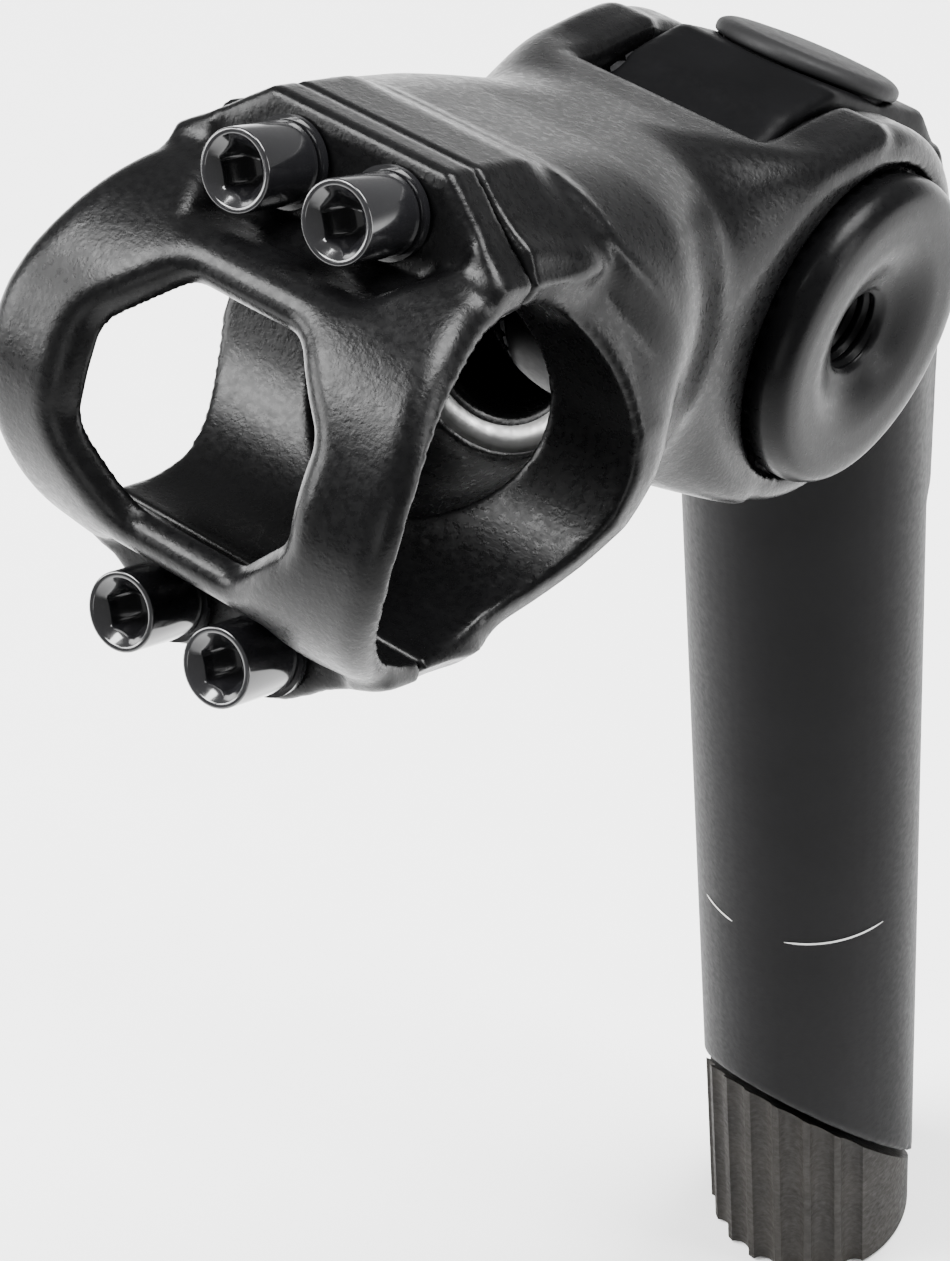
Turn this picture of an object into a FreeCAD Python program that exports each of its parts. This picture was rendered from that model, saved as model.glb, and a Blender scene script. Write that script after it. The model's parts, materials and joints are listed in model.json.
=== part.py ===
import FreeCAD, Part
import math
import os

import Sketcher

# Adjustable quill stem for a threaded headset.
# Frame: +Z up along the quill's axis, the arm reaches to -Y, origin on the quill's axis at the
# minimum-insertion line.  Millimetres.
# The arm's pieces are drawn in the arm's own frame: origin at the tilt pivot, -Y forward along
# the clamp bolts, +Z square to them.  Each is then placed at the pivot and tilted.

SIZES = {
    # quill and its slanted cut
    "quill_od": 25.4,
    "quill_bore": 18.0,
    "bore_top": 70.0,
    "quill_foot": -75.0,
    "cut_height": -48.5,
    "cut_slope": 1.42,
    "cut_wide": 20.0,
    # knuckle
    "pivot_y": -16.6,
    "pivot_z": 107.7,
    "knuckle_r": 18.4,
    "knuckle_wide": 18.4,
    "knuckle_back": 13.3,
    "flare_top": 95.0,
    "web_root": 8.4,
    "web_foot": 66.0,
    "web_bend": 45.0,
    "knuckle_soft": 1.8,
    "relief_r": 19.2,
    "neck_top": 104.0,
    "neck_r": 12.45,
    # cap seat
    "cap_y": 0.7,
    "cap_z": 118.0,
    "cap_tilt": 42.0,
    "cap_r": 9.2,
    "cap_thick": 1.7,
    "cap_dome": 0.5,
    "plug_r": 8.0,
    "plug_deep": 2.4,
    # expander
    "bolt_r": 4.0,
    "running_gap": 0.05,
    "bolt_hole_r": 4.3,
    "expander_seat": 90.0,
    "expander_foot": -65.0,
    "head_r": 5.9,
    "head_high": 8.0,
    "hex_r": 3.45,
    "hex_deep": 4.0,
    "counterbore_r": 6.2,
    "washer_thick": 1.6,
    "wedge_r": 12.4,
    "wedge_off": 0.25,
    "wedge_foot": -68.2,
    "wedge_gap": 1.6,
    "flute_r": 1.7,
    "flute_pitch": 17.5,
    "flutes": 8,
    # arm, drawn in its own frame
    "arm_tilt": 30.5,
    "ear_r": 18.6,
    "ear_in": 10.0,
    "ear_out": 17.0,
    "slot_r": 21.5,
    "arm_soft": 6.0,
    "neck_high": 16.4,
    "neck_low": 15.6,
    "end_wall": 30.0,
    "end_r": 11.2,
    "passage_r": 7.4,
    "passage_v": -4.0,
    # bar clamp
    "bar_r": 15.9,
    "bar_u": 56.25,
    "bar_v": -6.6,
    "part_u": 56.75,
    "part_gap": 0.3,
    "saddle_half": 21.6,
    "waist_half": 16.2,
    "plate_half": 22.4,
    "plate_r": 19.2,
    "lug_v": 25.0,
    "lug_half": 10.5,
    "lug_deep": 10.5,
    "land_u": 60.95,
    "shoulder_half": 17.6,
    "shoulder_v": 18.6,
    "mouth_half": 14.1,
    "window_half": 13.4,
    "window_high": 9.4,
    "window_flat": 6.4,
    "window_soft": 5.0,
    # arcs of the arm's and the faceplate's plan
    "neck_bow": 28.0,
    "saddle_bow": 4.5,
    "waist_bow": 25.0,
    "flare_bow": 30.0,
    "plate_waist_bow": 14.0,
    "plate_edge_bow": 9.0,
    "plate_end_bow": 12.0,
    # reaches of cuts that pass right through
    "through": 60.0,
    "beyond": 40.0,
    "plan_through": 140.0,
    # clamp bolts
    "clamp_x": 5.3,
    "clamp_v": 19.9,
    "clamp_r": 2.5,
    "clamp_head_r": 3.5,
    "clamp_head_long": 6.7,
    "clamp_hex_r": 2.3,
    "clamp_hex_deep": 4.5,
    "clamp_washer_r": 3.9,
    "clamp_washer_thick": 0.6,
    "clamp_reach": 12.5,
    "pocket_v": 15.9,
    "pocket_half": 9.4,
    "pocket_flare": 11.5,
    # pivot stack
    "disc_r": 15.1,
    "recess_r": 15.5,
    "recess_deep": 1.2,
    "disc_crown": 20.6,
    "disc_lip": 8.4,
    "hub_r": 9.6,
    "ring_in": 11.5,
    "ring_out": 17.4,
    "ring_face": 9.7,
    "ring_seat": 8.2,
    "bush_r": 5.5,
    "teeth": 48,
    "tooth_deep": 0.6,
    "pivot_head_r": 6.5,
    "pivot_head_high": 5.0,
    "pivot_floor": 12.5,
    "pivot_end": 14.0,
    "pivot_washer": 1.2,
}

ORIGIN_POINT = (-1, 1)
FIRST_POINT = 1
SECOND_POINT = 2
CENTRE_POINT = 3

doc = FreeCAD.newDocument("handlebar_stem")
sheet = doc.addObject("Spreadsheet::Sheet", "dims")
for row, (alias, number) in enumerate(SIZES.items(), start=1):
    sheet.set(f"A{row}", alias)
    sheet.set(f"B{row}", str(number))
    sheet.setAlias(f"B{row}", alias)
doc.recompute()


def value(expression):
    """The number that an expression on the sheet gives."""
    return float(sheet.evalExpression(str(expression)))


# ---------------------------------------------------------------- helpers


def new_body(name, on_arm=False):
    """A body under its own name; an arm piece sits at the pivot, tilted up."""
    body = doc.addObject("PartDesign::Body", name)
    body.Label = name
    if on_arm:
        tilt = FreeCAD.Rotation(FreeCAD.Vector(1, 0, 0), -value("dims.arm_tilt"))
        body.Placement = FreeCAD.Placement(FreeCAD.Vector(0, 0, 0), tilt)
        body.setExpression("Placement.Base.y", "dims.pivot_y")
        body.setExpression("Placement.Base.z", "dims.pivot_z")
        body.setExpression("Placement.Rotation.Angle", "-dims.arm_tilt")
    return body


def role(body, name):
    """One of a body's own origin planes or axes."""
    return next(item for item in body.Origin.OriginFeatures if item.Role == name)


def new_sketch(body, name, plane, offset=None):
    """A sketch on one of the body's planes, moved out along its normal by an expression."""
    sketch = body.newObject("Sketcher::SketchObject", name)
    sketch.AttachmentSupport = (role(body, plane), "")
    sketch.MapMode = "FlatFace"
    if offset is not None:
        sketch.setExpression("AttachmentOffset.Base.z", str(offset))
    return sketch


def hold(sketch, kind, places, expression):
    """A dimension constraint bound to the sheet."""
    number = sketch.addConstraint(Sketcher.Constraint(kind, *places, value(expression)))
    sketch.setExpression(f"Constraints[{number}]", str(expression))


def hold_point(sketch, curve, point, across, up):
    hold(sketch, "DistanceX", (*ORIGIN_POINT, curve, point), across)
    hold(sketch, "DistanceY", (*ORIGIN_POINT, curve, point), up)


def circle(sketch, across, up, radius):
    centre = FreeCAD.Vector(value(across), value(up), 0)
    shape = Part.Circle(centre, FreeCAD.Vector(0, 0, 1), value(radius))
    curve = sketch.addGeometry(shape, False)
    hold_point(sketch, curve, CENTRE_POINT, across, up)
    hold(sketch, "Radius", (curve,), radius)


def outline(sketch, corners, arcs=None):
    """A closed outline.  arcs maps a side's number to (radius, side), where side 1 bows to
    the left of the way drawn and -1 to the right."""
    arcs = arcs or {}
    points = [FreeCAD.Vector(value(x), value(y), 0) for x, y in corners]
    ends = []
    for number, start in enumerate(points):
        stop = points[(number + 1) % len(points)]
        if number in arcs:
            radius, bow = arcs[number]
            chord = stop - start
            half = chord.Length / 2
            rise = value(radius) - math.sqrt(value(radius) ** 2 - half ** 2)
            normal = FreeCAD.Vector(-chord.y, chord.x, 0).normalize()
            middle = (start + stop) * 0.5 + normal * (rise * bow)
            curve = sketch.addGeometry(Part.Arc(start, middle, stop), False)
            first = sketch.getPoint(curve, FIRST_POINT)
            turned = (first - start).Length > (first - stop).Length
            ends.append((curve, SECOND_POINT, FIRST_POINT) if turned
                        else (curve, FIRST_POINT, SECOND_POINT))
        else:
            curve = sketch.addGeometry(Part.LineSegment(start, stop), False)
            ends.append((curve, FIRST_POINT, SECOND_POINT))
    for number, (curve, first, last) in enumerate(ends):
        following, next_first, _ = ends[(number + 1) % len(ends)]
        sketch.addConstraint(Sketcher.Constraint("Coincident", curve, last, following, next_first))
        hold_point(sketch, curve, first, *corners[number])
        if number in arcs:
            hold(sketch, "Radius", (curve,), arcs[number][0])


def swept(body, kind, name, sketch, length, both=False, backwards=False):
    """A pad or pocket of a sketch."""
    feature = body.newObject(f"PartDesign::{kind}", name)
    feature.Profile = sketch
    feature.setExpression("Length", str(length))
    feature.Reversed = backwards
    if both:
        feature.SideType = "Symmetric"
    return settle(body, feature)


def settle(body, feature):
    """Recompute a feature that adds or cuts, and make sure that it did."""
    before = body.Shape.Volume if body.Tip and not body.Shape.isNull() else 0.0
    doc.recompute()
    change = feature.Shape.Volume - before
    print(f"{body.Name:26s}{feature.Name:26s}{change:12.1f}")
    if abs(change) < 1e-6:
        raise RuntimeError(f"{feature.Name} changed nothing")
    return feature


def turned(body, kind, name, sketch, axis):
    """A revolution or groove of a sketch about one of the body's axes."""
    feature = body.newObject(f"PartDesign::{kind}", name)
    feature.Profile = sketch
    feature.ReferenceAxis = (role(body, axis), [""])
    feature.Angle = 360.0
    return settle(body, feature)


def repeated(body, feature, axis, count, angle):
    """A polar pattern of one feature."""
    pattern = body.newObject("PartDesign::PolarPattern", feature.Name + "_pattern")
    pattern.Originals = [feature]
    pattern.Axis = (role(body, axis), [""])
    pattern.setExpression("Angle", str(angle))
    pattern.setExpression("Occurrences", str(count))
    body.Tip = pattern
    return settle(body, pattern)


def softened(body, name, radius, wanted):
    """Round the edges of the tip that the test accepts, given each edge and its middle."""
    base = body.Tip
    edges = []
    for number, edge in enumerate(base.Shape.Edges, start=1):
        middle = edge.valueAt((edge.FirstParameter + edge.LastParameter) / 2)
        if wanted(middle, edge):
            edges.append(f"Edge{number}")
    feature = body.newObject("PartDesign::Fillet", name)
    feature.Base = (base, edges)
    feature.setExpression("Radius", str(radius))
    return settle(body, feature)


def hexagon(sketch, across, up, radius):
    """A hexagon socket, its corners on a circle."""
    corners = []
    for corner in range(6):
        angle = 60 * corner
        corners.append((f"{across} + {radius} * cos({angle})", f"{up} + {radius} * sin({angle})"))
    outline(sketch, corners)


# ---------------------------------------------------------------- quill and expander


def make_quill_shaft():
    """The quill tube and the knuckle on its top, one forging."""
    body = new_body("quill_shaft")
    tube = new_sketch(body, "quill_profile", "XZ_Plane")
    outline(
        tube,
        [
            ("0", "dims.quill_foot"),
            ("dims.quill_od / 2", "dims.quill_foot"),
            ("dims.quill_od / 2", "dims.web_foot"),
            ("dims.neck_r", "dims.neck_top"),
            ("0", "dims.neck_top"),
        ],
    )
    turned(body, "Revolution", "quill_turning", tube, "Z_Axis")

    relief = new_sketch(body, "ear_sweep", "YZ_Plane")
    circle(relief, "dims.pivot_y", "dims.pivot_z", "dims.relief_r")
    swept(body, "Pocket", "ear_relief", relief, "dims.quill_od + 2", both=True)

    profile = new_sketch(body, "knuckle_outline", "YZ_Plane")
    reach = "dims.cap_r + 0.6"
    seat_front = (f"dims.cap_y - ({reach}) * cos(dims.cap_tilt)",
                  f"dims.cap_z + ({reach}) * sin(dims.cap_tilt)")
    seat_back = (f"dims.cap_y + ({reach}) * cos(dims.cap_tilt)",
                 f"dims.cap_z - ({reach}) * sin(dims.cap_tilt)")
    boss_low = ("dims.pivot_y - dims.knuckle_r * cos(84)", "dims.pivot_z - dims.knuckle_r * sin(84)")
    boss_front = ("dims.pivot_y - dims.knuckle_r", "dims.pivot_z")
    boss_top = ("dims.pivot_y + dims.knuckle_r * cos(82)", "dims.pivot_z + dims.knuckle_r * sin(82)")
    outline(
        profile,
        [
            ("-dims.web_root", "dims.web_foot"),
            boss_low,
            boss_front,
            boss_top,
            seat_front,
            seat_back,
            ("dims.knuckle_back", "dims.flare_top"),
            ("dims.web_root", "dims.web_foot"),
        ],
        {
            0: ("dims.web_bend", 1),
            1: ("dims.knuckle_r", 1),
            2: ("dims.knuckle_r", 1),
            5: ("24", 1),
            6: ("60", 1),
        },
    )
    swept(body, "Pad", "knuckle_pad", profile, "dims.knuckle_wide", both=True)

    def knuckle_rim(middle, edge):
        outer = abs(abs(middle.x) - value("dims.knuckle_wide") / 2) < 1e-3
        clear_of_tube = middle.z > value("dims.pivot_z") or middle.y < value("dims.pivot_y")
        return outer and clear_of_tube and edge.Length > 1

    softened(body, "knuckle_round", "dims.knuckle_soft", knuckle_rim)

    bore = new_sketch(body, "quill_bore_circle", "XY_Plane", "dims.quill_foot")
    circle(bore, "0", "0", "dims.quill_bore / 2")
    swept(body, "Pocket", "quill_bore", bore, "dims.bore_top - dims.quill_foot", backwards=True)
    hole = new_sketch(body, "bolt_hole_circle", "XY_Plane", "dims.quill_foot")
    circle(hole, "0", "0", "dims.bolt_hole_r")
    swept(body, "Pocket", "bolt_hole", hole, "230", backwards=True)
    recess = new_sketch(body, "head_recess_circle", "XY_Plane", "dims.expander_seat")
    circle(recess, "0", "0", "dims.counterbore_r")
    swept(body, "Pocket", "head_recess", recess, "60", backwards=True)

    plug = new_sketch(body, "plug_recess_circle", "XY_Plane")
    normal = FreeCAD.Rotation(FreeCAD.Vector(1, 0, 0), -value("dims.cap_tilt"))
    seat = FreeCAD.Vector(0, value("dims.cap_y"), value("dims.cap_z"))
    plug.AttachmentOffset = FreeCAD.Placement(seat, normal)
    circle(plug, "0", "0", "dims.plug_r + 0.1")
    swept(body, "Pocket", "plug_recess", plug, "dims.plug_deep + 0.3")

    cross = new_sketch(body, "pivot_bore_circle", "YZ_Plane")
    circle(cross, "dims.pivot_y", "dims.pivot_z", "dims.bush_r")
    swept(body, "Pocket", "pivot_bore", cross, "40", both=True)
    for side, sign in (("right", 1), ("left", -1)):
        groove = new_sketch(body, f"ring_groove_{side}", "YZ_Plane", f"{sign} * dims.ring_seat")
        circle(groove, "dims.pivot_y", "dims.pivot_z", "dims.ring_out")
        circle(groove, "dims.pivot_y", "dims.pivot_z", "dims.ring_in")
        swept(body, "Pocket", f"ring_seat_{side}", groove, "4", backwards=sign > 0)

    slant = new_sketch(body, "slant_outline", "YZ_Plane")
    outline(
        slant,
        [
            ("-dims.cut_wide", "dims.quill_foot - 20"),
            ("dims.cut_wide", "dims.quill_foot - 20"),
            ("dims.cut_wide", "dims.cut_height - dims.cut_slope * dims.cut_wide"),
            ("-dims.cut_wide", "dims.cut_height + dims.cut_slope * dims.cut_wide"),
        ],
    )
    swept(body, "Pocket", "slanted_cut", slant, "2 * dims.quill_od", both=True)
    return body


def make_wedge():
    """The expander wedge: a fluted slug whose top lies along the quill's slanted cut.  It is
    drawn about its own axis, which stands a little forward of the quill's."""
    body = new_body("expander_wedge")
    body.setExpression("Placement.Base.y", "-dims.wedge_off")
    base = new_sketch(body, "wedge_circle", "XY_Plane", "dims.wedge_foot")
    circle(base, "0", "0", "dims.wedge_r")
    swept(body, "Pad", "wedge_pad", base, "-dims.wedge_foot")

    slant = new_sketch(body, "wedge_slant", "YZ_Plane")
    top = "(dims.cut_height - dims.wedge_gap + dims.cut_slope * dims.wedge_off)"
    outline(
        slant,
        [
            ("-dims.cut_wide", f"{top} + dims.cut_slope * dims.cut_wide"),
            ("dims.cut_wide", f"{top} - dims.cut_slope * dims.cut_wide"),
            ("dims.cut_wide", "1"),
            ("-dims.cut_wide", "1"),
        ],
    )
    swept(body, "Pocket", "wedge_top", slant, "3 * dims.wedge_r", both=True)

    centre = "(dims.wedge_r + dims.flute_r * 0.45)"
    first = "(270 - 3.5 * dims.flute_pitch)"
    flute_circle = new_sketch(body, "flute_circle", "XY_Plane", "dims.wedge_foot")
    circle(flute_circle, f"{centre} * cos({first})", f"{centre} * sin({first})", "dims.flute_r")
    flute = swept(body, "Pocket", "flute", flute_circle, "-dims.wedge_foot", backwards=True)
    repeated(body, flute, "Z_Axis", "dims.flutes", "(dims.flutes - 1) * dims.flute_pitch")

    hole = new_sketch(body, "wedge_thread", "XY_Plane", "dims.wedge_foot")
    circle(hole, "0", "dims.wedge_off", "dims.bolt_r + dims.running_gap")
    swept(body, "Pocket", "wedge_hole", hole, "-dims.wedge_foot", backwards=True)
    return body


def socket_screw(name, seat, foot, shank_r, head_r, head_high, hex_r, hex_deep, axis_sketch):
    """A socket-head screw drawn upright: head on the seat, shank down to the foot."""
    body = new_body(name)
    profile = new_sketch(body, f"{name}_profile", "XZ_Plane")
    top = f"{seat} + {head_high}"
    outline(
        profile,
        [
            ("0", foot),
            (f"{shank_r} - 0.8", foot),
            (shank_r, f"{foot} + 0.8"),
            (shank_r, seat),
            (head_r, seat),
            (head_r, f"{top} - 0.6"),
            (f"{head_r} - 0.6", top),
            ("0", top),
        ],
    )
    turned(body, "Revolution", f"{name}_turning", profile, "Z_Axis")
    socket = new_sketch(body, axis_sketch, "XY_Plane", top)
    hexagon(socket, "0", "0", hex_r)
    swept(body, "Pocket", f"{name}_socket", socket, hex_deep)
    return body


def make_expander_bolt():
    return socket_screw(
        "expander_bolt",
        "dims.expander_seat + dims.washer_thick",
        "dims.expander_foot",
        "dims.bolt_r",
        "dims.head_r",
        "dims.head_high",
        "dims.hex_r",
        "dims.hex_deep",
        "expander_hex",
    )


def ring(name, inner, outer, low, thick, on_arm=False, plane="XY_Plane"):
    """A plain washer or bush about the axis square to its plane."""
    body = new_body(name, on_arm)
    section = new_sketch(body, f"{name}_circles", plane, low)
    circle(section, "0", "0", outer)
    circle(section, "0", "0", inner)
    swept(body, "Pad", f"{name}_pad", section, thick)
    return body


def make_cap():
    """The rubber cap over the expander bolt: a soft dome on a short plug."""
    body = new_body("expander_cap")
    profile = new_sketch(body, "cap_profile", "XZ_Plane")
    rim = "(dims.cap_r - 0.9)"
    outline(
        profile,
        [
            ("0", "-dims.plug_deep"),
            ("dims.plug_r - 0.5", "-dims.plug_deep"),
            ("dims.plug_r", "-dims.plug_deep + 0.5"),
            ("dims.plug_r", "0.05"),
            ("dims.cap_r", "0.05"),
            ("dims.cap_r", "dims.cap_thick * 0.5"),
            (rim, "dims.cap_thick"),
            ("0", "dims.cap_thick + dims.cap_dome"),
        ],
        {6: (f"({rim} ^ 2 + dims.cap_dome ^ 2) / (2 * dims.cap_dome)", -1)},
    )
    turned(body, "Revolution", "cap_turning", profile, "Z_Axis")
    tilt = FreeCAD.Rotation(FreeCAD.Vector(1, 0, 0), -value("dims.cap_tilt"))
    body.Placement = FreeCAD.Placement(FreeCAD.Vector(0, 0, 0), tilt)
    body.setExpression("Placement.Base.y", "dims.cap_y")
    body.setExpression("Placement.Base.z", "dims.cap_z")
    return body


# ---------------------------------------------------------------- arm and faceplate


def plan_trim(body, name, corners, arcs, sign):
    """Cut away what lies outside one side of the plan outline (drawn as X against forward)."""
    sketch = new_sketch(body, name, "XY_Plane")
    bends = {number: (radius, bow * sign) for number, (radius, bow) in arcs.items()}
    outline(sketch, [(f"{sign} * ({x})", f"-({u})") for x, u in corners], bends)
    swept(body, "Pocket", f"{name}_cut", sketch, "dims.plan_through", both=True)


def front_trim(body, name, sign_x, sign_v, u_low, depth):
    """Bevel one corner of the clamp's lugs, seen from the front."""
    sketch = new_sketch(body, name, "XZ_Plane", u_low)
    outline(
        sketch,
        [
            (f"{sign_x} * dims.lug_half", f"dims.bar_v + {sign_v} * (dims.lug_v + 3)"),
            (f"{sign_x} * dims.lug_half", f"dims.bar_v + {sign_v} * dims.lug_v"),
            (f"{sign_x} * dims.shoulder_half", f"dims.bar_v + {sign_v} * dims.shoulder_v"),
            (f"{sign_x} * dims.beyond", f"dims.bar_v + {sign_v} * dims.shoulder_v"),
            (f"{sign_x} * dims.beyond", f"dims.bar_v + {sign_v} * (dims.lug_v + 3)"),
        ],
    )
    swept(body, "Pocket", f"{name}_cut", sketch, depth, backwards=False)


def make_stem_arm():
    """The hollow arm: two ears at the pivot, a neck, and the rear half of the bar clamp."""
    body = new_body("stem_arm", on_arm=True)
    top = "dims.bar_v + dims.lug_v"
    low = "dims.bar_v - dims.lug_v"
    face = "-(dims.part_u - dims.part_gap / 2)"
    side = new_sketch(body, "arm_side", "YZ_Plane")
    outline(
        side,
        [
            (face, top),
            ("-(dims.part_u - dims.lug_deep)", top),
            ("-18", "dims.neck_high + 0.4"),
            ("-dims.ear_r * cos(82)", "dims.ear_r * sin(82)"),
            ("dims.ear_r", "0"),
            ("-dims.ear_r * cos(70)", "-dims.ear_r * sin(70)"),
            ("-30", "-dims.neck_low"),
            ("-42.5", "dims.bar_v - 14.6"),
            ("-(dims.part_u - dims.lug_deep)", f"{low} + 5"),
            ("-(dims.part_u - dims.lug_deep)", low),
            (face, low),
        ],
        {3: ("dims.ear_r", 1), 4: ("dims.ear_r", 1)},
    )
    swept(body, "Pad", "arm_pad", side, "2 * dims.saddle_half", both=True)
    plan = [
        ("dims.ear_out", "-30"),
        ("dims.ear_out", "22"),
        ("dims.saddle_half - 0.8", "36"),
        ("dims.saddle_half - 0.6", "41.5"),
        ("dims.waist_half", "50.5"),
        ("dims.waist_half + 0.9", "60"),
        ("dims.beyond", "60"),
        ("dims.beyond", "-30"),
    ]
    bends = {
        1: ("dims.neck_bow", -1),
        2: ("dims.saddle_bow", 1),
        3: ("dims.waist_bow", -1),
        4: ("dims.flare_bow", -1),
    }
    for name, sign in (("plan_right", 1), ("plan_left", -1)):
        plan_trim(body, name, plan, bends, sign)

    def long_edge(middle, edge):
        run = edge.valueAt(edge.LastParameter) - edge.valueAt(edge.FirstParameter)
        on_flank = abs(middle.x) > value("dims.ear_out") - 2
        on_neck = -value("dims.bar_u") + 13 < middle.y < -6
        return on_flank and on_neck and abs(run.y) > 3 and abs(run.z) < abs(run.y)

    softened(body, "arm_round", "dims.arm_soft", long_edge)
    for tag, sign_x, sign_v in (("tr", 1, 1), ("tl", -1, 1), ("br", 1, -1), ("bl", -1, -1)):
        front_trim(body, f"lug_{tag}", sign_x, sign_v, "dims.part_u + 2", "18")

    saddle = new_sketch(body, "bar_circle", "YZ_Plane")
    circle(saddle, "-dims.bar_u", "dims.bar_v", "dims.bar_r")
    swept(body, "Pocket", "bar_bore", saddle, "dims.through", both=True)

    slot = new_sketch(body, "fork_slot", "YZ_Plane")
    outline(
        slot,
        [
            ("-dims.slot_r * cos(52)", "dims.slot_r * sin(52)"),
            ("-dims.slot_r * cos(52)", "30"),
            ("30", "30"),
            ("30", "-30"),
            ("-dims.slot_r * cos(62)", "-30"),
            ("-dims.slot_r * cos(62)", "-dims.slot_r * sin(62)"),
        ],
        {5: ("dims.slot_r", 1)},
    )
    swept(body, "Pocket", "fork_cut", slot, "2 * dims.ear_in", both=True)

    hollow = body.newObject("PartDesign::SubtractiveLoft", "hollow")
    sections = []
    for name, u, lift, radius in (
        ("mouth", "dims.bar_u - 6", "dims.bar_v + 1", "dims.mouth_half"),
        ("hollow_mid", "dims.bar_u - 16", "dims.bar_v + 1.4", "dims.mouth_half - 0.6"),
        ("hollow_end", "dims.end_wall", "dims.passage_v", "dims.end_r"),
    ):
        section = new_sketch(body, name, "XZ_Plane", u)
        circle(section, "0", lift, radius)
        sections.append(section)
    hollow.Profile = sections[0]
    hollow.Sections = sections[1:]
    settle(body, hollow)
    passage = new_sketch(body, "passage_circle", "XZ_Plane", "dims.end_wall + 2")
    circle(passage, "0", "dims.passage_v", "dims.passage_r")
    swept(body, "Pocket", "passage", passage, "14")

    bore = new_sketch(body, "ear_bore_circle", "YZ_Plane")
    circle(bore, "0", "0", "dims.hub_r + dims.running_gap")
    swept(body, "Pocket", "ear_bore", bore, "dims.through", both=True)
    for tag, sign in (("right", 1), ("left", -1)):
        floor = f"{sign} * (dims.ear_out - dims.recess_deep)"
        recess = new_sketch(body, f"disc_recess_{tag}", "YZ_Plane", floor)
        circle(recess, "0", "0", "dims.recess_r")
        swept(body, "Pocket", f"disc_seat_{tag}", recess, "10", backwards=sign > 0)

    holes = new_sketch(body, "thread_circles", "XZ_Plane", "dims.part_u + 1")
    for sign_x, sign_v in ((1, 1), (-1, 1), (1, -1), (-1, -1)):
        circle(holes, f"{sign_x} * dims.clamp_x", f"dims.bar_v + {sign_v} * dims.clamp_v",
               "dims.clamp_r + dims.running_gap")
    swept(body, "Pocket", "thread_holes", holes, "30")
    return body


def make_faceplate():
    """The front half of the bar clamp: a barrel shell with a window and two bolt pockets."""
    body = new_body("faceplate", on_arm=True)
    face = "-(dims.part_u + dims.part_gap / 2)"
    crown_top = "dims.bar_v + sqrt(dims.plate_r ^ 2 - (dims.land_u - dims.bar_u) ^ 2)"
    crown_low = "dims.bar_v - sqrt(dims.plate_r ^ 2 - (dims.land_u - dims.bar_u) ^ 2)"
    side = new_sketch(body, "plate_side", "YZ_Plane")
    outline(
        side,
        [
            (face, "dims.bar_v + dims.lug_v"),
            (face, "dims.bar_v - dims.lug_v"),
            ("-dims.land_u", "dims.bar_v - dims.lug_v"),
            ("-dims.land_u", crown_low),
            ("-(dims.bar_u + dims.plate_r)", "dims.bar_v"),
            ("-dims.land_u", crown_top),
            ("-dims.land_u", "dims.bar_v + dims.lug_v"),
        ],
        {3: ("dims.plate_r", 1), 4: ("dims.plate_r", 1)},
    )
    swept(body, "Pad", "plate_pad", side, "2 * dims.plate_half", both=True)
    plan = [
        ("dims.shoulder_half - 1.2", "50"),
        ("dims.shoulder_half - 1.2", "dims.part_u"),
        ("dims.shoulder_half + 0.4", "dims.part_u + 3.2"),
        ("dims.plate_half - 1", "dims.bar_u + 9.5"),
        ("dims.plate_half", "dims.bar_u + 13.5"),
        ("dims.plate_half - 1.6", "dims.bar_u + 21"),
        ("dims.beyond", "dims.bar_u + 21"),
        ("dims.beyond", "50"),
    ]
    bends = {
        1: ("dims.plate_waist_bow", -1),
        2: ("dims.plate_waist_bow", -1),
        3: ("dims.plate_edge_bow", 1),
        4: ("dims.plate_end_bow", 1),
    }
    for name, sign in (("plate_plan_right", 1), ("plate_plan_left", -1)):
        plan_trim(body, name, plan, bends, sign)
    for tag, sign_x, sign_v in (("tr", 1, 1), ("tl", -1, 1), ("br", 1, -1), ("bl", -1, -1)):
        front_trim(body, f"plate_lug_{tag}", sign_x, sign_v, "dims.part_u + 8", "20")
    bore = new_sketch(body, "plate_bar_circle", "YZ_Plane")
    circle(bore, "-dims.bar_u", "dims.bar_v", "dims.bar_r")
    swept(body, "Pocket", "plate_bore", bore, "dims.through", both=True)

    window = new_sketch(body, "window_outline", "XZ_Plane", "dims.bar_u + 30")
    outline(
        window,
        [
            ("dims.window_flat", "dims.bar_v + dims.window_high"),
            ("-dims.window_flat", "dims.bar_v + dims.window_high"),
            ("-dims.window_half", "dims.bar_v"),
            ("-dims.window_flat", "dims.bar_v - dims.window_high"),
            ("dims.window_flat", "dims.bar_v - dims.window_high"),
            ("dims.window_half", "dims.bar_v"),
        ],
    )
    swept(body, "Pocket", "window", window, "26")

    def window_corner(middle, edge):
        straight = abs(edge.tangentAt(edge.FirstParameter).y) > 0.99
        inside = abs(middle.x) < value("dims.window_half") + 0.2
        near = abs(middle.z - value("dims.bar_v")) < value("dims.window_high") + 0.2
        return straight and inside and near

    softened(body, "window_round", "dims.window_soft", window_corner)

    for tag, sign in (("top", 1), ("low", -1)):
        pocket = new_sketch(body, f"head_pocket_{tag}", "XZ_Plane", "dims.land_u + 12")
        outline(
            pocket,
            [
                (f"{sign} * dims.pocket_half", f"dims.bar_v + {sign} * dims.pocket_v"),
                (f"-{sign} * dims.pocket_half", f"dims.bar_v + {sign} * dims.pocket_v"),
                (f"-{sign} * dims.pocket_flare", f"dims.bar_v + {sign} * (dims.lug_v + 4)"),
                (f"{sign} * dims.pocket_flare", f"dims.bar_v + {sign} * (dims.lug_v + 4)"),
            ],
        )
        swept(body, "Pocket", f"head_room_{tag}", pocket, "12")
    holes = new_sketch(body, "plate_hole_circles", "XZ_Plane", "dims.land_u + 3")
    for sign_x, sign_v in ((1, 1), (-1, 1), (1, -1), (-1, -1)):
        circle(holes, f"{sign_x} * dims.clamp_x", f"dims.bar_v + {sign_v} * dims.clamp_v",
               "dims.clamp_r + dims.running_gap")
    swept(body, "Pocket", "plate_holes", holes, "12")
    return body


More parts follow.
